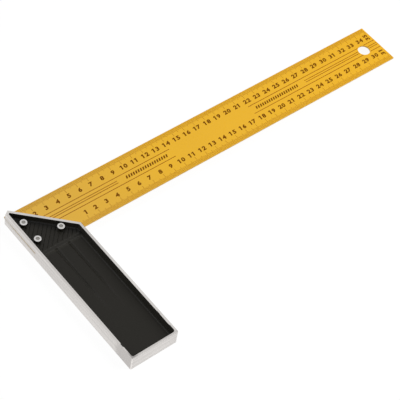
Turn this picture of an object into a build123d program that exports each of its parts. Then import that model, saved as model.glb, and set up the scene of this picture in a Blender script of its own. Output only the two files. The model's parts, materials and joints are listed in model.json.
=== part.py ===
"""Carpenter's square: a die-cast aluminium stock, a sheet-steel blade let into its head, and three rivets.

The pieces are drawn in the square's own layout, in millimetres: X runs along the blade from the stock's outer
face, Y runs along the stock with 0 at the blade's outer edge, and Z is 0 in the middle of the thickness. The
finished pieces are then moved so that the origin is under the middle of the whole square.
"""
import os
from math import hypot, radians, sqrt, tan

from build123d import *

# Stock
STOCK_WIDTH = 40.0
STOCK_LENGTH = 150.0
STOCK_THICKNESS = 13.5
TIP_FLAT = 2.6  # width left square where the 45 degree mitre starts
TIP_RADIUS = 1.8
TIP_GRIND = 2.2  # ground off the upper cheek's tip, at the rim
CORNER_RADIUS = 0.8
EDGE_CHAMFER = 0.4

# Recess in each face of the stock
OUTER_RIM_WIDTH = 1.25  # along the stock's outer face
INNER_RIM_WIDTH = 2.1
END_RIM_WIDTH = 1.45
MITRE_RIM_WIDTH = 2.2
TIP_RIM_WIDTH = 1.4  # between the ground tip and the recess
WEB_THICKNESS = 2.4  # metal left between the two recesses
DRAFT_ANGLE = 15.0
WALL_CORNER_RADIUS = 1.65
FLOOR_RADIUS = 1.4
CHEEK_THICKNESS = 2.2  # metal beside the blade, under the raised pad
PAD_MARGIN = 3.5  # pad beyond the blade's inner edge
PAD_RADIUS = 1.0
STEP_RADIUS = 0.9  # on both edges of the slope from the pad down to the web
GROOVE_SPACING = 11.2
GROOVE_WIDTH = 3.8
GROOVE_DEPTH = 0.45
GROOVE_LENGTH = 60.0  # to where it has run out on the floor
SERRATION_PITCH = 3.03
SERRATION_START = 1.49  # from the corner of the stock's outline, along the mitre
SERRATION_WIDTH = 0.6
SERRATION_DEPTH = 0.26
SERRATION_GAP = 0.3  # to the pad's fillets and bosses

# Blade
BLADE_LENGTH = 352.0
BLADE_WIDTH = 38.5
BLADE_THICKNESS = 1.2
BLADE_CORNER_RADIUS = 0.3
HANG_HOLE_RADIUS = 5.0
HANG_HOLE_INSET = 15.4  # from the blade's end
SLOT_CLEARANCE = 0.05

# Rivets
SHANK_RADIUS = 1.6
SHANK_CLEARANCE = 0.05
HEAD_RADIUS = 2.7
HEAD_HEIGHT = 0.5
HEAD_BEVEL = 0.15
HEAD_SINK = 0.15  # head below the stock's rim
HOLLOW_MOUTH_RADIUS = 1.45
HOLLOW_RADIUS = 1.15
HOLLOW_DEPTH = 0.4
BOSS_RADIUS = 2.45
RIVET_INSET = 6.1  # from the stock's outer face, and from the blade's inner edge
INNER_RIVET_INSET = 6.15  # from the mitre face
TIP_RIVET_INSET = 8.2  # from the mitre face

# Levels above the middle of the thickness, the same on both faces
rim_level = STOCK_THICKNESS / 2
web_level = WEB_THICKNESS / 2
slot_level = BLADE_THICKNESS / 2 + SLOT_CLEARANCE
pad_level = slot_level + CHEEK_THICKNESS
head_level = rim_level - HEAD_SINK
boss_level = head_level - HEAD_HEIGHT

# Places along the stock: the pad's edge, its 45 degree slope's foot, and the rivets by the blade's inner edge
pad_end = -BLADE_WIDTH - PAD_MARGIN
slope_foot = pad_end - (pad_level - web_level)
heel_y = RIVET_INSET - BLADE_WIDTH


def mitre_sum(inset):
    """The value of x + y on the line that lies an inset behind the 45 degree mitre face."""
    return TIP_FLAT - inset * sqrt(2)


def wall_run(level):
    """How far a recess wall has come inwards between the rim and a lower level."""
    return (rim_level - level) * tan(radians(DRAFT_ANGLE))


rivet_places = {
    "rivet_tip": (RIVET_INSET, mitre_sum(TIP_RIVET_INSET) - RIVET_INSET),
    "rivet_heel": (RIVET_INSET, heel_y),
    "rivet_inner": (mitre_sum(INNER_RIVET_INSET) - heel_y, heel_y),
}


def rivet_holes():
    hole = Cylinder(SHANK_RADIUS + SHANK_CLEARANCE, STOCK_THICKNESS)
    return [Pos(x, y) * hole for x, y in rivet_places.values()]


def across_tip(low_reach, low, high_reach, high):
    """A wedge across the tip, which reaches so far along the mitre at a low level and at a high one."""
    back = -STOCK_WIDTH
    side = Polygon((back, low), (low_reach, low), (high_reach, high), (back, high), align=None)
    return extrude(Plane((0, 0, 0), (1, -1, 0), (-1, -1, 0)) * side, STOCK_WIDTH, both=True)


def recess_mouth():
    """The recess's outline at the rim, with sharp corners."""
    near_x = OUTER_RIM_WIDTH
    far_x = STOCK_WIDTH - INNER_RIM_WIDTH
    far_y = END_RIM_WIDTH - STOCK_LENGTH
    edge_sum = mitre_sum(MITRE_RIM_WIDTH)
    return Polygon(
        (near_x, edge_sum - near_x),
        (near_x, far_y),
        (far_x, far_y),
        (far_x, edge_sum - far_x),
        align=None,
    )


def pocket(mouth, floor_level, floor_radius):
    """A hollow with sloping walls and a rounded foot; every corner but the tip's is rounded."""
    block = extrude(Pos(0, 0, rim_level) * mouth, floor_level - rim_level)
    walls = block.faces().filter_by(Axis.Z, reverse=True)
    hollow = draft(walls, Plane.XY.offset(rim_level), -DRAFT_ANGLE)
    corners = hollow.edges().filter_by(Plane.XY, reverse=True).sort_by(Axis.Y)[:-1]
    hollow = fillet(corners, WALL_CORNER_RADIUS)
    return fillet(hollow.edges().group_by(Axis.Z)[0], floor_radius)


def beyond_pad():
    """The space in front of the pad, over the slope that leads down to the web."""
    side = FilletPolyline(
        (pad_end + STEP_RADIUS, pad_level),
        (pad_end, pad_level),
        (slope_foot, web_level),
        (-STOCK_LENGTH, web_level),
        (-STOCK_LENGTH, rim_level),
        (pad_end + STEP_RADIUS, rim_level),
        radius=[0, STEP_RADIUS, STEP_RADIUS, 0, 0, 0],
        close=True,
    )
    return extrude(Plane.YZ * make_face(side), STOCK_WIDTH)


def over_pad():
    """The space over the pad, which ends short of the tip in one more sloping wall."""
    head = Box(2 * STOCK_WIDTH, STOCK_LENGTH, STOCK_THICKNESS, align=(Align.CENTER, Align.MIN, Align.CENTER))
    tip_rim = TIP_GRIND + TIP_RIM_WIDTH
    return Pos(0, pad_end) * head - across_tip(tip_rim + wall_run(web_level), web_level, tip_rim, rim_level)


def floor_grooves():
    """Two shallow grooves that start at the slope's foot and rise until they run out on the floor."""
    vee = Polygon((-GROOVE_WIDTH / 2, 0), (0, -GROOVE_DEPTH), (GROOVE_WIDTH / 2, 0), align=None)
    downhill = Plane((0, slope_foot, web_level), (1, 0, 0), (0, -GROOVE_LENGTH, GROOVE_DEPTH))
    groove = extrude(downhill * vee, hypot(GROOVE_LENGTH, GROOVE_DEPTH))
    middle = STOCK_WIDTH / 2
    return [Pos(middle + aside, 0) * groove for aside in (-GROOVE_SPACING / 2, GROOVE_SPACING / 2)]


def serrations(mouth):
    """Fine grooves across the flat of the pad, square to the mitre."""
    flat = offset(mouth, -wall_run(pad_level) - PAD_RADIUS - SERRATION_GAP, kind=Kind.INTERSECTION)
    front = pad_end + STEP_RADIUS
    flat &= Pos(0, front) * Rectangle(2 * STOCK_WIDTH, STOCK_LENGTH, align=(Align.CENTER, Align.MIN))
    flat -= [Pos(x, y) * Circle(BOSS_RADIUS + SERRATION_GAP) for x, y in rivet_places.values()]
    reach = extrude(Pos(0, 0, pad_level) * flat, SERRATION_DEPTH, both=True)

    # Each is a vee that opens on upwards past the pad's face
    vee = Polygon(
        (-SERRATION_WIDTH, SERRATION_DEPTH),
        (0, -SERRATION_DEPTH),
        (SERRATION_WIDTH, SERRATION_DEPTH),
        align=None,
    )
    across = Plane((0, 0, pad_level), (-1, 1, 0), (1, 1, 0)) * vee
    groove = extrude(across, STOCK_LENGTH, both=True)
    furthest = (STOCK_WIDTH - pad_end) / sqrt(2)
    count = int((furthest - SERRATION_START) / SERRATION_PITCH) + 1
    distances = [SERRATION_START + index * SERRATION_PITCH for index in range(count)]
    cuts = [Pos(distance / sqrt(2), -distance / sqrt(2)) * groove & reach for distance in distances]
    return [cut for cut in cuts if cut]


def recess():
    """The hollow in the upper face: shallow over the pad that covers the blade, and deep beyond it."""
    mouth = recess_mouth()
    shallow = pocket(mouth, pad_level, PAD_RADIUS) & over_pad()
    deep = pocket(mouth, web_level, FLOOR_RADIUS) & beyond_pad()
    boss = extrude(Pos(0, 0, web_level) * Circle(BOSS_RADIUS), boss_level - web_level)
    bosses = [Pos(x, y) * boss for x, y in rivet_places.values()]
    return shallow + deep - bosses + floor_grooves() + serrations(mouth)


def make_stock():
    outline = FilletPolyline(
        (0, 0),
        (TIP_FLAT, 0),
        (STOCK_WIDTH, TIP_FLAT - STOCK_WIDTH),
        (STOCK_WIDTH, -STOCK_LENGTH),
        (0, -STOCK_LENGTH),
        radius=[TIP_RADIUS, 0, CORNER_RADIUS, CORNER_RADIUS, CORNER_RADIUS],
        close=True,
    )
    casting = extrude(make_face(outline), rim_level, both=True)
    layers = casting.edges().group_by(Axis.Z)
    casting = chamfer(layers[0] + layers[-1], EDGE_CHAMFER)

    upper = recess()
    tip_grind = across_tip(0, slot_level, TIP_GRIND, rim_level)
    casting -= [upper, mirror(upper, Plane.XY), tip_grind]

    # The slot is open at the mitre, at the tip and on the outer face, and the blade seats on its end
    slot = Pos(STOCK_WIDTH / 2, 0) * Box(STOCK_WIDTH, 2 * BLADE_WIDTH, 2 * slot_level)
    return casting - slot - rivet_holes()


def make_blade():
    middle_y = -BLADE_WIDTH / 2
    strip = RectangleRounded(BLADE_LENGTH, BLADE_WIDTH, BLADE_CORNER_RADIUS)
    plan = Pos(BLADE_LENGTH / 2, middle_y) * strip
    hang_hole = Pos(BLADE_LENGTH - HANG_HOLE_INSET, middle_y) * Circle(HANG_HOLE_RADIUS)
    return extrude(plan - hang_hole, BLADE_THICKNESS / 2, both=True) - rivet_holes()


def make_rivet():
    """A semi-tubular rivet: a plain head below, and above it the hollow end rolled over into a ring."""
    half = Polygon(
        (0, -head_level),
        (HEAD_RADIUS - HEAD_BEVEL, -head_level),
        (HEAD_RADIUS, HEAD_BEVEL - head_level),
        (HEAD_RADIUS, -boss_level),
        (SHANK_RADIUS, -boss_level),
        (SHANK_RADIUS, boss_level),
        (HEAD_RADIUS, boss_level),
        (HEAD_RADIUS, head_level - HEAD_BEVEL),
        (HEAD_RADIUS - HEAD_BEVEL, head_level),
        (HOLLOW_MOUTH_RADIUS, head_level),
        (HOLLOW_RADIUS, head_level - HOLLOW_DEPTH),
        (0, head_level - HOLLOW_DEPTH),
        align=None,
    )
    return revolve(Plane.XZ * half, Axis.Z)


pieces = {"stock": make_stock(), "blade": make_blade()}
rivet = make_rivet()
for name, (x, y) in rivet_places.items():
    pieces[name] = Pos(x, y) * rivet

to_frame = Pos(-BLADE_LENGTH / 2, STOCK_LENGTH / 2, rim_level)
os.makedirs("parts", exist_ok=True)
for name, piece in pieces.items():
    export_step(to_frame * piece, f"parts/{name}.step")
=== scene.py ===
"""Looks of a carpenter's square: its finishes, printed scale, floor, light and camera.

Sizes are in millimetres of the square's own layout: x runs along the blade from the stock's outer face,
y runs along the stock with 0 at the blade's outer edge, and z is 0 in the middle of the thickness.
"""
import json
from math import cos, pi, radians, sin, sqrt

import bmesh
import bpy
from mathutils import Euler, Matrix, Vector


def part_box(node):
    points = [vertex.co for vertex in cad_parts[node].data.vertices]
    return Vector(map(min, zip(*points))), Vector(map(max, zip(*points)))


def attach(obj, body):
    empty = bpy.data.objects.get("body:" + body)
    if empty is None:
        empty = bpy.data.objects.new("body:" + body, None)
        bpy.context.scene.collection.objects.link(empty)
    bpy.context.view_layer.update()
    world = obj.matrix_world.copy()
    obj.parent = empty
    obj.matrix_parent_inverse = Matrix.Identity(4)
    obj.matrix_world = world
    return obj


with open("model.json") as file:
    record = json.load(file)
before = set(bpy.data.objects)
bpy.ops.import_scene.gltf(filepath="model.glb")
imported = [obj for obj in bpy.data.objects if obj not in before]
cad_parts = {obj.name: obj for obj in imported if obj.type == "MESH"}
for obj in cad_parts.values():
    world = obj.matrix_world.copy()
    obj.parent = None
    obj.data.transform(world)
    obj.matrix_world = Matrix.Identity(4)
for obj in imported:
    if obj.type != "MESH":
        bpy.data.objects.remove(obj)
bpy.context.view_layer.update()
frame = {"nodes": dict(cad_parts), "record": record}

MM = 0.001
BODY = "root"
UPPER, LOWER = 1, -1

# Sizes that the solids have
TIP_FLAT = 2.6
OUTER_RIM_WIDTH = 1.25
INNER_RIM_WIDTH = 2.1
END_RIM_WIDTH = 1.45
MITRE_RIM_WIDTH = 2.2
PAD_LEVEL = 2.85
GROOVE_SPACING = 11.2
SERRATION_START = 1.49  # from the corner of the stock's outline, along the mitre
SERRATION_PITCH = 3.03
HOLLOW_MOUTH_RADIUS = 1.45  # of a rivet's rolled end

# Which material of its solid a face has
SIDE, RIM, RECESS, CORNER, LIT_WALL = range(5)
FACE, EDGE, BARE_END = range(3)
HEAD, HOLLOW = range(2)

# Limits for telling faces and places apart
TOLERANCE = 0.02
SLOT_LEVEL = 0.7  # just above the blade's slot
PAD_REACH = 0.3  # above and below the pad's level
LEVEL_SHARE = 0.5  # least share of z in the normal of a level face
CORNER_SHARE = 0.25  # least share of x and of y in the normal of a rounded corner
WALL_SHARE = 0.9  # least share of x in the normal of a wall

# Colours: one tone, or a darker and a lighter tone
RECESS_BLACK = ((0.0104, 0.0093, 0.0068, 1), (0.0122, 0.011, 0.0083, 1))
# Lighter black on the recess's wall that faces -x, as painted light
LIT_WALL_BLACK = ((0.023, 0.0212, 0.0165, 1), (0.0265, 0.0248, 0.0195, 1))
# Lighter black for a painted highlight on the step
STEP_HIGHLIGHT_BLACK = (0.0265, 0.0248, 0.0195, 1)
SHADED_BLACK = (0.0, 0.0, 0.0, 1)
SPILT_BLACK = (0.011, 0.0105, 0.009, 1)
YELLOW = ((0.79, 0.43, 0.0135, 1), (0.818, 0.451, 0.0145, 1))
YELLOW_PEEL = (0.735, 0.388, 0.0125, 1)
# Yellow by the stock: darker and hazier, painted shade and sheen
SHADED_HAZY_YELLOW_BY_STOCK = (0.71, 0.414, 0.05, 1)
# Deeper yellow towards the free end, with less of that painted sheen
YELLOW_BY_END = (0.765, 0.4, 0.003, 1)
RIVET_HEAD = ((0.48, 0.47, 0.46, 1), (0.60, 0.59, 0.575, 1))
# Darker metal in the rivets' hollows, painted shade
RIVET_HOLLOW_SHADE = ((0.19, 0.183, 0.17, 1), (0.29, 0.28, 0.262, 1))
THICK_INK = ((0.155, 0.048, 0.001, 1), (0.205, 0.07, 0.002, 1))
THIN_INK = ((0.18, 0.016, 0.001, 1), (0.22, 0.026, 0.001, 1))
FLOOR_GREY = (0.92, 0.92, 0.92, 1)
WHITE = (1, 1, 1, 1)

# Edges of the blade: a darker and a lighter tone, and the one near the tip of the stock
PAINTED_EDGE = ((0.56, 0.32, 0.02, 1), (0.7, 0.43, 0.08, 1), (0.63, 0.38, 0.05, 1))
BARE_EDGE = ((0.48, 0.38, 0.22, 1), (0.6, 0.5, 0.36, 1), (0.72, 0.67, 0.6, 1))
TIP_FADE = (-14.0, -6.0)  # along the stock, where that tone comes in

# Where the painted shade and sheen on the yellow by the stock ends along the blade, and where the deeper
# yellow by the free end begins
STOCK_FADE = (10.0, 130.0)
END_FADE = (180.0, 350.0)

# Ground metal: tints of its dull lines, light lines and stains, and how bright it is; the rims get a
# darker copy as painted shade and two corners a brighter copy as a painted highlight
METAL_TINTS = ((0.875, 0.842, 0.813), (1.14, 1.1, 1.064), (0.945, 0.905, 0.875))
SIDE_BRIGHTNESS = 0.685
# Darker on the rims than on the sides, as painted shade
RIM_SHADED_BRIGHTNESS = 0.54
# Brighter on two rounded corners, as a painted highlight
CORNER_HIGHLIGHT_BRIGHTNESS = 0.85

# The stretch of the stock's outer face by the plain end, darkened as painted shade
END_SHADE_TONE = 0.86  # of the stains' brightness
END_SHADE_LENGTH = 14.0
END_SHADE_FADE = 6.0

# The dull film on the rims at the plain end
GRIME_TONE = 0.5  # of the stains' brightness
GRIME_REACH = (4.0, 9.0)  # from the outer corner, along x and y together
GRIME_FADE = 0.5
CORNER_GRIME = 0.9
END_GRIME = 0.28

# Black paint that has run over the recess's edge onto the rim
LAP_TAPER = 1.2  # over which a lap narrows at each end
LAP_END = -0.15  # its width at each end, short of the recess's edge
LAP_WANDER = 0.1  # of its outline, to either side
LAP_SOFTNESS = 0.08  # of its outline
LAP_START = -0.5  # inside the recess's edge

# Tone of the black paint on the pad and the step below it, with a painted highlight on the step and
# painted shade on the pad
STEP_FOOT = (-46.0, -45.2)  # along the stock, where the painted highlight comes in at the foot of the step
STEP_TOP = (-44.0, -40.5)  # and where it fades out again towards the pad
STEP_HIGHLIGHT_SHARE = 0.47
MITRE_SHADE = (3.0, 9.0)  # from the mitre face, where the paint on the pad is darkened as painted shade

# Relief of the black paint: its grain, and sharper grooves on the floor and on the pad
GRAIN_HEIGHT = 0.03
GROOVE_RELIEF = 0.55
GROOVE_RELIEF_WIDTH = 2.4
GROOVE_LEVELS = (1.21, 1.32)  # where it ends on the slope above the floor
GROOVE_FADE = (-112.0, -82.0)  # where it runs out along the stock
SERRATION_RELIEF = 0.16
SERRATION_RELIEF_WIDTH = 2.8

# Ink: thin slabs, sunk a little into the blade
FILM_HEIGHT = 0.015
FILM_SINK = 0.01

# Printed scale
CM = 10  # from one number to the next
TICK_SHIFT = 0.25  # of the ticks along the blade
FIRST_OUTER_TICK = 3  # the stock's tip covers those before it
FIRST_OUTER_NUMBER = 2
INNER_ZERO = 40.0
OUTER_LAST = 350
INNER_LAST = 311
TICK_WIDTH = 0.2
TICK_LENGTHS = {10: 6.8, 5: 5.0, 1: 3.9}  # every centimetre, half centimetre and millimetre
EDGE_GAP = 0.1
OUTER_ROW = -9.8
INNER_ROW = -28.6
DIGIT_HEIGHT = 3.9
DIGIT_STRETCH = 1.18
DIGIT_BOLD = 0.045  # of the type size
DIGIT_SLANT = 0.1
DIGIT_PITCH = 3.45
DIGIT_CURVE_STEPS = 3
DIGIT_EXTRUSION = 0.5  # of the type size, flattened to a film afterwards
DIGIT_WELD = 0.0001  # of the type size
ONE_FLAG = ((-1.35, 0.6), (-0.1, 1.3), (-0.25, 1.95), (-1.35, 1.25))  # left of the stroke of each 1
END_LABEL_X = 347.9
LONE_ONE_SHIFT = 1.6

# Ruled lines along the middle of the blade, and the hatched panels between them
LINE_WIDTH = 0.445
OUTER_LINES = (-14.95, -23.0)
INNER_LINES = (-18.05, -19.9)
HIDDEN_LENGTH = 1.5  # of each line, under the stock's mitre
OUTER_LINES_BREAK = (139.0, 217.0)
INNER_LINES_BREAK = (87.5, 273.0)
LINES_END = 351.4
HATCH_PANELS = ((96.0, 134.0), (222.5, 266.0))
HATCH_BAND = (-20.35, -17.65)
HATCH_PITCH = 2.2
HATCH_WIDTH = 1.25
HATCH_SLANT = 0.9

# View
VIEW_TARGET = (127.93, -65.74, 0.6)
VIEW_DISTANCE = 1177.07
VIEW_AZIMUTH = radians(-47.77)
VIEW_ELEVATION = radians(50.907)
VIEW_ROLL = radians(11.3)
LENS = 144.624
SENSOR = 36.0
CLIP_START = 0.05
CLIP_END = 20.0

# Light and floor; lamps have a name, a place and an aim in metres, a width and a power
SKY = 0.36
LAMPS = (
    ("front", (0.45, -0.58, 1.0), (0.0, 0.0, 0.0), 0.4, 6.0),
    ("back", (-0.65, 0.8, 1.75), (0.0, 0.0, 0.0), 0.4, 8.8),
    ("side", (0.45, -0.25, 0.4), (0.12, 0.05, 0.0), 0.2, 1.2),
)
FLOOR_REACH = 6.0  # in metres, to each side
FLOOR_GLOW = 0.9  # share of the floor's look that is plain white
FLOOR_WHITE = 1.03

NOISE_RANGE = (0.3, 0.7)  # which noise seldom leaves


# Frame of the layout
blade_low, blade_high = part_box("blade")
stock_low, stock_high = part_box("stock")
origin = Vector((blade_low.x, blade_high.y, (blade_low.z + blade_high.z) / 2))
to_row = Matrix.Translation(origin) @ Matrix.Scale(MM, 4)
to_layout = to_row.inverted()
_, blade_width, blade_thickness = (blade_high - blade_low) / MM
stock_width, stock_length, stock_thickness = (stock_high - stock_low) / MM
blade_top = blade_thickness / 2
rim_level = stock_thickness / 2
outer_edge = OUTER_RIM_WIDTH
inner_edge = stock_width - INNER_RIM_WIDTH
relief_middle = (outer_edge + inner_edge) / 2  # between the two lines of relief, each within a groove

# Places where black paint has run over the rim: the recess's edge there, which way is outward along x,
# the middle and half length along y, and the width
PAINT_LAPS = (
    (outer_edge, -1, -137.2, 2.2, 0.65),
    (inner_edge, 1, -144.8, 3.4, 0.38),
    (inner_edge, 1, -130.0, 2.6, 0.3),
)

hang_hole = next(mount for mount in frame["record"]["mounts"] if mount["name"] == "hang_hole")
hole_place = to_layout @ Vector(hang_hole["pos_m"])
hole_radius = hang_hole["dims"]["r_mm"]


def inside_mouth(x, y):
    """How far a point lies inside the mouth of the stock's recess; negative outside it."""
    return min(
        x - outer_edge,
        inner_edge - x,
        y + stock_length - END_RIM_WIDTH,
        (TIP_FLAT - x - y) / sqrt(2) - MITRE_RIM_WIDTH,
    )


# Materials

class Shader:
    """One procedural material, with short calls for the nodes that feed its Principled shader."""

    def __init__(self, name, **constants):
        self.material = bpy.data.materials.new(name)
        self.material.use_nodes = True
        self.tree = self.material.node_tree
        self.surface = self.tree.nodes["Principled BSDF"]
        for socket, value in constants.items():
            self.surface.inputs[socket.replace("_", " ")].default_value = value
        self.coords = self.tree.nodes.new("ShaderNodeTexCoord").outputs["Object"]

    def node(self, kind, inputs, **settings):
        node = self.tree.nodes.new(kind)
        for name, value in settings.items():
            setattr(node, name, value)
        for key, value in inputs.items():
            if isinstance(value, bpy.types.NodeSocket):
                self.tree.links.new(value, node.inputs[key])
            else:
                node.inputs[key].default_value = value
        return node

    def scaled(self, vector, scale=(1, 1, 1)):
        """A place in metres times a scale along each axis, in units per millimetre."""
        inputs = {0: vector, 1: [value / MM for value in scale]}
        return self.node("ShaderNodeVectorMath", inputs, operation="MULTIPLY").outputs[0]

    def layout(self):
        """The x, y and z of a place in the layout."""
        inputs = {0: self.coords, 1: origin}
        place = self.node("ShaderNodeVectorMath", inputs, operation="SUBTRACT").outputs[0]
        return self.node("ShaderNodeSeparateXYZ", {0: self.scaled(place)}).outputs

    def noise(self, scale, detail=3.0, roughness=0.55):
        """Noise with so many waves per millimetre along each axis."""
        vector = self.scaled(self.coords, scale)
        inputs = {"Vector": vector, "Scale": 1.0, "Detail": detail, "Roughness": roughness}
        return self.node("ShaderNodeTexNoise", inputs).outputs["Fac"]

    def fit(self, value, low, high, to_low, to_high):
        """Maps a value from one range to another and stops at the ends."""
        inputs = {"Value": value, "From Min": low, "From Max": high, "To Min": to_low, "To Max": to_high}
        return self.node("ShaderNodeMapRange", inputs).outputs["Result"]

    def spread(self, noise, low, high):
        """Spreads noise over a range of values."""
        return self.fit(noise, *NOISE_RANGE, low, high)

    def math(self, operation, a, b=0.0):
        return self.node("ShaderNodeMath", {0: a, 1: b}, operation=operation).outputs[0]

    def distance(self, value, middle):
        """How far a value is from the middle, to either side."""
        return self.math("ABSOLUTE", self.math("SUBTRACT", value, middle))

    def blend(self, factor, a, b):
        """Mixes two colours."""
        inputs = {0: factor, 6: a, 7: b}
        return self.node("ShaderNodeMix", inputs, data_type="RGBA").outputs[2]

    def set(self, socket, value):
        self.tree.links.new(value, self.surface.inputs[socket])

    def bump(self, height, distance):
        inputs = {"Height": height, "Distance": distance * MM}
        self.set("Normal", self.node("ShaderNodeBump", inputs).outputs["Normal"])


def dimmed(tint, share):
    """A colour with a share of the brightness of a tint."""
    return tuple(share * value for value in tint[:3]) + (1,)


def overspill(shader):
    """1 where black paint has run over the edge of the upper recess onto the rim, 0 elsewhere."""
    x, y, z = shader.layout()
    above = shader.math("GREATER_THAN", z, 0.0)
    ragged = shader.spread(shader.noise((0.9, 0.9, 0.9)), -LAP_WANDER, LAP_WANDER)
    total = 0.0
    for edge, outward, middle, half, width in PAINT_LAPS:
        along = shader.distance(y, middle)
        reach = shader.math("ADD", shader.fit(along, half - LAP_TAPER, half, width, LAP_END), ragged)
        out = shader.math("MULTIPLY", shader.math("SUBTRACT", x, edge), outward)
        covered = shader.fit(shader.math("SUBTRACT", reach, out), 0.0, LAP_SOFTNESS, 0.0, 1.0)
        beyond = shader.math("GREATER_THAN", out, LAP_START)
        within = shader.math("LESS_THAN", along, half)
        covered = shader.math("MULTIPLY", covered, shader.math("MULTIPLY", beyond, within))
        total = shader.math("MAXIMUM", total, covered)
    return shader.math("MULTIPLY", total, above)


def smear(shader):
    """How much painted shade darkens the stock's outer face, which is more where it nears the plain end.
    """
    x, y, _ = shader.layout()
    ragged = shader.spread(shader.noise((0.12, 0.12, 0.12)), -END_SHADE_FADE / 2, END_SHADE_FADE / 2)
    from_end = shader.math("ADD", shader.math("ADD", y, stock_length), ragged)
    shaded_share = shader.fit(from_end, END_SHADE_LENGTH, END_SHADE_LENGTH + END_SHADE_FADE, 1.0, 0.0)
    return shader.math("MULTIPLY", shaded_share, shader.math("LESS_THAN", x, TOLERANCE))


def grime(shader):
    """How much of a dull film lies on the rims at the plain end, which is most at the outer corner."""
    x, y, z = shader.layout()
    from_end = shader.math("ADD", y, stock_length)
    corner = shader.fit(shader.math("ADD", x, from_end), *GRIME_REACH, CORNER_GRIME, 0.0)
    end = shader.fit(from_end, END_RIM_WIDTH, END_RIM_WIDTH + GRIME_FADE, END_GRIME, 0.0)
    on_rim = shader.math("GREATER_THAN", shader.math("ABSOLUTE", z), rim_level - TOLERANCE)
    return shader.math("MULTIPLY", shader.math("MAXIMUM", corner, end), on_rim)


def ground_aluminium(name, brightness):
    """Bright ground metal: lines that run along every upright face, over faint cloudy patches."""
    shader = Shader(name)
    lines = shader.noise((0.02, 0.02, 4.0), detail=4.0, roughness=0.65)
    bands = shader.noise((0.012, 0.012, 0.6), detail=2.0)
    cloud = shader.noise((0.03, 0.03, 0.06))
    speck = shader.noise((1.5, 1.5, 1.5), detail=2.0)
    spilt = overspill(shader)
    dull, light, stain = (dimmed(tint, brightness) for tint in METAL_TINTS)
    tone = shader.blend(shader.fit(shader.math("ADD", lines, bands), 0.82, 1.18, 0.0, 1.0), dull, light)
    tone = shader.blend(shader.fit(cloud, 0.35, 0.7, 0.0, 0.6), tone, stain)
    # Painted shade: darker stretch of the outer face by the plain end
    tone = shader.blend(smear(shader), tone, dimmed(stain, END_SHADE_TONE))
    tone = shader.blend(grime(shader), tone, dimmed(stain, GRIME_TONE))
    shader.set("Base Color", shader.blend(spilt, tone, SPILT_BLACK))
    shader.set("Metallic", shader.fit(spilt, 0.0, 1.0, 1.0, 0.0))
    shader.set("Roughness", shader.fit(shader.math("ADD", lines, speck), 0.6, 1.4, 0.36, 0.5))
    shader.bump(shader.math("ADD", lines, speck), 0.006)
    return shader.material


def on_pad(shader):
    """1 at the level of the pad, 0 above and below it."""
    level = shader.math("ABSOLUTE", shader.layout()[2])
    return shader.math("LESS_THAN", shader.distance(level, PAD_LEVEL), PAD_REACH)


def mitre_shade(shader):
    """How much painted shade darkens the pad: 1 at the foot of the mitre's wall, fading to 0 over the
    pad.
    """
    x, y, _ = shader.layout()
    inward = shader.math("SUBTRACT", TIP_FLAT, shader.math("ADD", x, y))
    from_mitre = shader.math("DIVIDE", inward, sqrt(2))
    return shader.math("MULTIPLY", shader.fit(from_mitre, *MITRE_SHADE, 1.0, 0.0), on_pad(shader))


def step_wear(shader):
    """How much a painted highlight lightens the paint over the step from the pad down to the floor."""
    _, y, z = shader.layout()
    below = shader.fit(y, *STEP_FOOT, 0.0, STEP_HIGHLIGHT_SHARE)
    above = shader.fit(y, *STEP_TOP, STEP_HIGHLIGHT_SHARE, 0.0)
    off_walls = shader.math("LESS_THAN", shader.math("ABSOLUTE", z), PAD_LEVEL + PAD_REACH)
    return shader.math("MULTIPLY", shader.math("MINIMUM", below, above), off_walls)


def groove_relief(shader):
    """Height in millimetres that steepens the flanks of the two grooves, less so where they run out."""
    x, y, z = shader.layout()
    off_line = shader.distance(shader.distance(x, relief_middle), GROOVE_SPACING / 2)
    depth = shader.fit(off_line, 0.0, GROOVE_RELIEF_WIDTH / 2, -GROOVE_RELIEF, 0.0)
    on_floor = shader.fit(shader.math("ABSOLUTE", z), *GROOVE_LEVELS, 1.0, 0.0)
    fading = shader.fit(y, *GROOVE_FADE, 0.0, 1.0)
    return shader.math("MULTIPLY", depth, shader.math("MULTIPLY", on_floor, fading))


def serration_relief(shader):
    """Height in millimetres that deepens the fine grooves across the pad and eases their edges."""
    x, y, _ = shader.layout()
    along = shader.math("DIVIDE", shader.math("SUBTRACT", x, y), sqrt(2))
    turns = shader.math("DIVIDE", shader.math("SUBTRACT", along, SERRATION_START), SERRATION_PITCH)
    off_line = shader.math("MULTIPLY", shader.math("PINGPONG", turns, 0.5), SERRATION_PITCH)
    depth = shader.fit(off_line, 0.0, SERRATION_RELIEF_WIDTH / 2, -SERRATION_RELIEF, 0.0)
    return shader.math("MULTIPLY", depth, on_pad(shader))


def black_paint(name, dark, light):
    """Satin black paint on a cast surface, with a slight grain."""
    shader = Shader(name, Specular_IOR_Level=0.16)
    grain = shader.noise((2.2, 2.2, 2.2), detail=4.0, roughness=0.6)
    cloud = shader.noise((0.05, 0.05, 0.05))
    tone = shader.blend(cloud, dark, light)
    # Painted highlight: lighter black over the step
    tone = shader.blend(step_wear(shader), tone, STEP_HIGHLIGHT_BLACK)
    # Painted shade: darker black on the pad at the foot of the mitre's wall
    shader.set("Base Color", shader.blend(mitre_shade(shader), tone, SHADED_BLACK))
    shader.set("Roughness", shader.spread(grain, 0.42, 0.58))
    relief = shader.math("ADD", groove_relief(shader), serration_relief(shader))
    shader.bump(shader.math("ADD", shader.math("MULTIPLY", grain, GRAIN_HEIGHT), relief), 1.0)
    return shader.material


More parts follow.
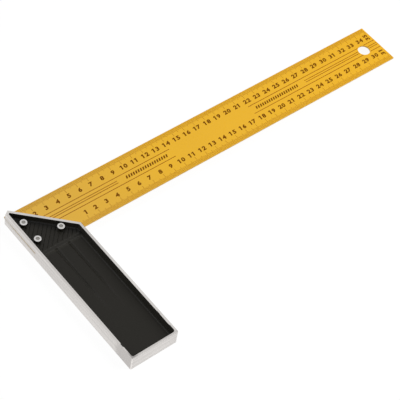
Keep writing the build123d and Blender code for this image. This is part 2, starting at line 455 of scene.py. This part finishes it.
def yellow_paint():
    """Satin yellow paint on rolled sheet, darker and hazier near the stock as painted shade and sheen,
    and deeper towards the free end.
    """
    shader = Shader("yellow_paint", Specular_IOR_Level=0.4)
    cloud = shader.noise((0.02, 0.05, 0.05), detail=2.0)
    peel = shader.noise((1.2, 1.2, 1.2), detail=3.0)
    along = shader.layout()[0]
    tone = shader.blend(shader.spread(cloud, 0.0, 1.0), *YELLOW)
    tone = shader.blend(shader.fit(peel, 0.45, 0.75, 0.0, 0.25), tone, YELLOW_PEEL)
    # Painted shade and sheen on the yellow near the stock
    tone = shader.blend(shader.fit(along, *STOCK_FADE, 1.0, 0.0), tone, SHADED_HAZY_YELLOW_BY_STOCK)
    tone = shader.blend(shader.fit(along, *END_FADE, 0.0, 1.0), tone, YELLOW_BY_END)
    shader.set("Base Color", tone)
    shader.set("Roughness", shader.spread(peel, 0.36, 0.48))
    shader.bump(peel, 0.012)
    return shader.material


def sheared_edge(name, dark, light, near_tip):
    """A cut edge of the blade, streaked across its thickness."""
    shader = Shader(name, Metallic=0.3)
    streak = shader.noise((0.9, 0.9, 0.15), detail=3.0)
    fading = shader.fit(shader.layout()[1], *TIP_FADE, 0.0, 1.0)
    shader.set("Base Color", shader.blend(fading, shader.blend(streak, dark, light), near_tip))
    shader.set("Roughness", shader.spread(streak, 0.4, 0.6))
    shader.bump(streak, 0.02)
    return shader.material


def scale_ink(name, dark, light):
    """Brown printing ink, a little uneven."""
    shader = Shader(name, Specular_IOR_Level=0.04)
    patch = shader.noise((0.8, 0.8, 0.8), detail=3.0)
    shader.set("Base Color", shader.blend(shader.fit(patch, 0.35, 0.7, 0.0, 1.0), dark, light))
    shader.set("Roughness", shader.spread(patch, 0.5, 0.65))
    return shader.material


def rivet_metal(name, dark, light):
    """Satin aluminium with turned and hammered marks."""
    shader = Shader(name, Metallic=1.0)
    marks = shader.noise((1.3, 1.3, 1.3), detail=4.0)
    shader.set("Base Color", shader.blend(shader.spread(marks, 0.0, 1.0), dark, light))
    shader.set("Roughness", shader.spread(marks, 0.28, 0.45))
    shader.bump(marks, 0.03)
    return shader.material


# Pieces

def add_piece(name, points, faces, material):
    """A new mesh piece from points in the layout."""
    mesh = bpy.data.meshes.new(name)
    mesh.from_pydata([to_row @ point for point in points], [], faces)
    mesh.materials.append(material)
    mesh.validate()
    piece = bpy.data.objects.new(name, mesh)
    bpy.context.collection.objects.link(piece)
    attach(piece, BODY)


class Film:
    """Flat shapes of ink, each a thin closed slab, gathered for one mesh."""

    def __init__(self):
        self.points = []
        self.faces = []

    def add_shape(self, points, faces, place):
        first = len(self.points)
        self.points += [place @ point for point in points]
        self.faces += [tuple(first + index for index in face) for face in faces]

    def add_outline(self, outline, place):
        """A convex outline, given anticlockwise."""
        count = len(outline)
        points = [Vector((x, y, level)) for level in (-FILM_SINK, FILM_HEIGHT) for x, y in outline]
        faces = [tuple(reversed(range(count))), tuple(range(count, 2 * count))]
        for start in range(count):
            end = (start + 1) % count
            faces.append((start, end, count + end, count + start))
        self.add_shape(points, faces, place)

    def add_strip(self, width, length, place):
        """A strip that runs from 0 to its length along y."""
        half = width / 2
        self.add_outline(((-half, 0), (half, 0), (half, length), (-half, length)), place)


def on_blade(side, x, y, turn=0.0):
    """Moves a flat shape to a place on the blade, turned so that it reads from that side."""
    face_up = Matrix.Identity(4) if side == UPPER else Matrix.Rotation(pi, 4, "Y")
    return Matrix.Translation((x, y, side * blade_top)) @ face_up @ Matrix.Rotation(turn, 4, "Z")


def tick_length(millimetre):
    return next(length for step, length in TICK_LENGTHS.items() if millimetre % step == 0)


def print_ticks(side):
    film = Film()
    for millimetre in range(FIRST_OUTER_TICK, OUTER_LAST + 1):
        place = on_blade(side, millimetre + TICK_SHIFT, -EDGE_GAP, pi)
        film.add_strip(TICK_WIDTH, tick_length(millimetre), place)
    for millimetre in range(1, INNER_LAST + 1):
        place = on_blade(side, INNER_ZERO + millimetre + TICK_SHIFT, EDGE_GAP - blade_width)
        film.add_strip(TICK_WIDTH, tick_length(millimetre), place)
    return film


def digit_mesh(digit):
    """A digit of the built-in type, thickened to both sides of its own plane."""
    curve = bpy.data.curves.new("digit", "FONT")
    curve.body = digit
    curve.offset = DIGIT_BOLD
    curve.shear = DIGIT_SLANT
    curve.resolution_u = DIGIT_CURVE_STEPS
    curve.extrude = DIGIT_EXTRUSION
    holder = bpy.data.objects.new("digit", curve)
    bpy.context.collection.objects.link(holder)
    depsgraph = bpy.context.evaluated_depsgraph_get()
    mesh = bpy.data.meshes.new_from_object(holder.evaluated_get(depsgraph))
    bpy.data.objects.remove(holder)
    bpy.data.curves.remove(curve)
    return mesh


def digit_shape(digit):
    """The points and faces of one digit as a closed slab, centred on its own middle."""
    mesh = digit_mesh(digit)
    solid = bmesh.new()
    solid.from_mesh(mesh)
    bmesh.ops.remove_doubles(solid, verts=solid.verts, dist=DIGIT_WELD)
    bmesh.ops.recalc_face_normals(solid, faces=solid.faces)
    corners = [vertex.co.copy() for vertex in solid.verts]
    faces = [[vertex.index for vertex in face.verts] for face in solid.faces]
    solid.free()
    bpy.data.meshes.remove(mesh)

    left, right = min(c.x for c in corners), max(c.x for c in corners)
    bottom, top = min(c.y for c in corners), max(c.y for c in corners)
    size = DIGIT_HEIGHT / (top - bottom)
    points = []
    for corner in corners:
        x = (corner.x - (left + right) / 2) * size * DIGIT_STRETCH
        y = (corner.y - (bottom + top) / 2) * size
        points.append(Vector((x, y, FILM_HEIGHT if corner.z > 0 else -FILM_SINK)))
    shape = Film()
    shape.add_shape(points, faces, Matrix.Identity(4))
    if digit == "1":
        shape.add_outline(ONE_FLAG, Matrix.Identity(4))
    return shape.points, shape.faces


digits = {digit: digit_shape(digit) for digit in "0123456789"}


def add_number(film, number, place):
    text = str(number)
    for index, digit in enumerate(text):
        aside = (index - (len(text) - 1) / 2) * DIGIT_PITCH
        film.add_shape(*digits[digit], place @ Matrix.Translation((aside, 0, 0)))


def print_numbers(side):
    """Both rows of numbers; the last of each row is turned to run along the blade's end."""
    film = Film()
    for number in range(FIRST_OUTER_NUMBER, OUTER_LAST // CM):
        add_number(film, number, on_blade(side, CM * number, OUTER_ROW))
    for number in range(1, INNER_LAST // CM):
        shift = LONE_ONE_SHIFT * side if number == 1 else 0
        add_number(film, number, on_blade(side, INNER_ZERO + CM * number + shift, INNER_ROW))
    for number, row in ((OUTER_LAST // CM, OUTER_ROW), (INNER_LAST // CM, INNER_ROW)):
        add_number(film, number, on_blade(side, END_LABEL_X, row, side * pi / 2))
    return film


def line_spans(y, gap):
    """The stretches of a ruled line, which stops at its gap and at the hanging hole."""
    reach = hole_radius + LINE_WIDTH
    half = sqrt(reach ** 2 - (y - hole_place.y) ** 2)
    yield TIP_FLAT - y - HIDDEN_LENGTH, gap[0]
    yield gap[1], hole_place.x - half
    yield hole_place.x + half, LINES_END


def print_lines(side):
    film = Film()
    for rows, gap in ((OUTER_LINES, OUTER_LINES_BREAK), (INNER_LINES, INNER_LINES_BREAK)):
        for y in rows:
            for start, end in line_spans(y, gap):
                length = end - start
                middle = on_blade(side, (start + end) / 2, y, pi / 2)
                film.add_strip(LINE_WIDTH, length, middle @ Matrix.Translation((0, -length / 2, 0)))
    return film


def print_hatch(side):
    """Panels of slanted strokes between the ruled lines."""
    film = Film()
    low, high = HATCH_BAND
    half_height = (high - low) / 2
    half = HATCH_WIDTH / 2
    lean = HATCH_SLANT / 2
    stroke = (
        (-half - lean, -half_height),
        (half - lean, -half_height),
        (half + lean, half_height),
        (-half + lean, half_height),
    )
    for start, end in HATCH_PANELS:
        for index in range(int((end - start) / HATCH_PITCH) + 1):
            film.add_outline(stroke, on_blade(side, start + index * HATCH_PITCH, (low + high) / 2))
    return film


# The solids' finishes

def dress(node, materials, choose):
    """Gives each face of a solid the material that choose names for its middle and its normal."""
    mesh = frame["nodes"][node].data
    mesh.materials.clear()
    for material in materials:
        mesh.materials.append(material)
    for face in mesh.polygons:
        face.material_index = choose(to_layout @ face.center, face.normal)


def stock_finish(middle, normal):
    """Paint in the recesses, lighter on the wall that faces -x as painted light; ground metal elsewhere,
    in a darker copy on the rims as painted shade and a brighter copy on two corners as a painted
    highlight.
    """
    in_mouth = inside_mouth(middle.x, middle.y) > -TOLERANCE
    if in_mouth and SLOT_LEVEL < abs(middle.z) < rim_level - TOLERANCE:
        return LIT_WALL if normal.x < -WALL_SHARE else RECESS
    if abs(normal.x) > CORNER_SHARE and normal.y < -CORNER_SHARE and abs(normal.z) < CORNER_SHARE:
        return CORNER
    return RIM if abs(normal.z) > LEVEL_SHARE else SIDE


def blade_finish(middle, normal):
    """Paint on the faces and edges; the end in the stock is bare."""
    if abs(normal.z) > LEVEL_SHARE:
        return FACE
    return BARE_END if middle.x < TOLERANCE else EDGE


def rivet_finish(axis):
    """The choice for a rivet round an axis: darker metal in its rolled end's hollow as painted shade,
    bright elsewhere.
    """
    def choose(middle, normal):
        in_hollow = (middle - axis).xy.length < HOLLOW_MOUTH_RADIUS + TOLERANCE
        return HOLLOW if middle.z > 0 and in_hollow else HEAD
    return choose


paint = black_paint("recess_paint", *RECESS_BLACK)
# Lighter copy of the black paint for the wall that faces -x, painted light
lit_wall_paint = black_paint("lit_wall_paint", *LIT_WALL_BLACK)
side_metal = ground_aluminium("ground_sides", SIDE_BRIGHTNESS)
# Darker copy of the ground metal on the rims, painted shade
shaded_rim_metal = ground_aluminium("ground_rims_shaded", RIM_SHADED_BRIGHTNESS)
# Brighter copy of the ground metal on two corners, a painted highlight
highlight_corner_metal = ground_aluminium("ground_corners_highlight", CORNER_HIGHLIGHT_BRIGHTNESS)
dress("stock", [side_metal, shaded_rim_metal, paint, highlight_corner_metal, lit_wall_paint], stock_finish)
painted_edge = sheared_edge("painted_edge", *PAINTED_EDGE)
bare_edge = sheared_edge("bare_edge", *BARE_EDGE)
dress("blade", [yellow_paint(), painted_edge, bare_edge], blade_finish)
head_metal = rivet_metal("rivet_head", *RIVET_HEAD)
# Painted shade: darker metal in each rivet's hollow
shaded_hollow_metal = rivet_metal("rivet_hollow_shade", *RIVET_HOLLOW_SHADE)
for node in ("rivet_tip", "rivet_heel", "rivet_inner"):
    low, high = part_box(node)
    dress(node, [head_metal, shaded_hollow_metal], rivet_finish(to_layout @ ((low + high) / 2)))

thick_ink = scale_ink("thick_ink", *THICK_INK)
thin_ink = scale_ink("thin_ink", *THIN_INK)
PRINTS = (
    ("ticks", print_ticks, thin_ink),
    ("numbers", print_numbers, thick_ink),
    ("lines", print_lines, thin_ink),
    ("hatch", print_hatch, thick_ink),
)
for side, name in ((UPPER, "upper"), (LOWER, "lower")):
    for kind, draw, ink in PRINTS:
        film = draw(side)
        add_piece(f"{kind}_{name}", film.points, film.faces, ink)


# Floor, light and camera

def seen(tree):
    """1 for rays from the camera and for those that gloss or glass sends on, 0 for the rest."""
    path = tree.nodes.new("ShaderNodeLightPath")
    total = path.outputs["Is Camera Ray"]
    for kind in ("Is Glossy Ray", "Is Transmission Ray"):
        either = tree.nodes.new("ShaderNodeMath")
        either.operation = "MAXIMUM"
        tree.links.new(total, either.inputs[0])
        tree.links.new(path.outputs[kind], either.inputs[1])
        total = either.outputs[0]
    return total


def add_floor():
    """A floor that looks nearly white and still takes a faint shadow."""
    mesh = bpy.data.meshes.new("floor")
    square = ((-1, -1), (1, -1), (1, 1), (-1, 1))
    corners = [(FLOOR_REACH * x, FLOOR_REACH * y, stock_low.z) for x, y in square]
    mesh.from_pydata(corners, [], [(0, 1, 2, 3)])
    floor = bpy.data.objects.new("floor", mesh)
    bpy.context.collection.objects.link(floor)
    material = bpy.data.materials.new("floor")
    material.use_nodes = True
    tree = material.node_tree
    tree.nodes.clear()
    output = tree.nodes.new("ShaderNodeOutputMaterial")
    mix = tree.nodes.new("ShaderNodeMixShader")
    diffuse = tree.nodes.new("ShaderNodeBsdfDiffuse")
    diffuse.inputs["Color"].default_value = FLOOR_GREY
    white = tree.nodes.new("ShaderNodeEmission")
    white.inputs["Strength"].default_value = FLOOR_WHITE
    share = tree.nodes.new("ShaderNodeMath")
    share.operation = "MULTIPLY"
    share.inputs[1].default_value = FLOOR_GLOW
    tree.links.new(seen(tree), share.inputs[0])
    tree.links.new(share.outputs[0], mix.inputs["Fac"])
    tree.links.new(diffuse.outputs["BSDF"], mix.inputs[1])
    tree.links.new(white.outputs["Emission"], mix.inputs[2])
    tree.links.new(mix.outputs["Shader"], output.inputs["Surface"])
    mesh.materials.append(material)


def add_world():
    """A dim sky that looks white where it is seen."""
    world = bpy.data.worlds.new("studio")
    bpy.context.scene.world = world
    world.use_nodes = True
    tree = world.node_tree
    tree.nodes.clear()
    output = tree.nodes.new("ShaderNodeOutputWorld")
    mix = tree.nodes.new("ShaderNodeMixShader")
    sky = tree.nodes.new("ShaderNodeBackground")
    sky.inputs["Strength"].default_value = SKY
    white = tree.nodes.new("ShaderNodeBackground")
    for background in (sky, white):
        background.inputs["Color"].default_value = WHITE
    tree.links.new(seen(tree), mix.inputs["Fac"])
    tree.links.new(sky.outputs["Background"], mix.inputs[1])
    tree.links.new(white.outputs["Background"], mix.inputs[2])
    tree.links.new(mix.outputs["Shader"], output.inputs["Surface"])


def add_lamp(name, place, aim, size, power):
    light = bpy.data.lights.new(name, "AREA")
    light.shape = "DISK"
    light.size = size
    light.energy = power
    lamp = bpy.data.objects.new(name, light)
    lamp.location = place
    lamp.rotation_euler = (Vector(aim) - Vector(place)).to_track_quat("-Z", "Y").to_euler()
    bpy.context.collection.objects.link(lamp)


def add_camera():
    data = bpy.data.cameras.new("camera")
    data.lens = LENS
    data.sensor_width = SENSOR
    data.clip_start = CLIP_START
    data.clip_end = CLIP_END
    camera = bpy.data.objects.new("camera", data)
    back = Vector((
        sin(VIEW_AZIMUTH) * cos(VIEW_ELEVATION),
        -cos(VIEW_AZIMUTH) * cos(VIEW_ELEVATION),
        sin(VIEW_ELEVATION),
    ))
    target = to_row @ Vector(VIEW_TARGET)
    camera.location = target + back * VIEW_DISTANCE * MM
    camera.rotation_mode = "QUATERNION"
    level = (-back).to_track_quat("-Z", "Y")
    camera.rotation_quaternion = level @ Euler((0, 0, VIEW_ROLL)).to_quaternion()
    bpy.context.collection.objects.link(camera)
    bpy.context.scene.camera = camera


add_floor()
add_world()
for lamp in LAMPS:
    add_lamp(*lamp)
add_camera()
bpy.context.scene.view_settings.view_transform = "Standard"
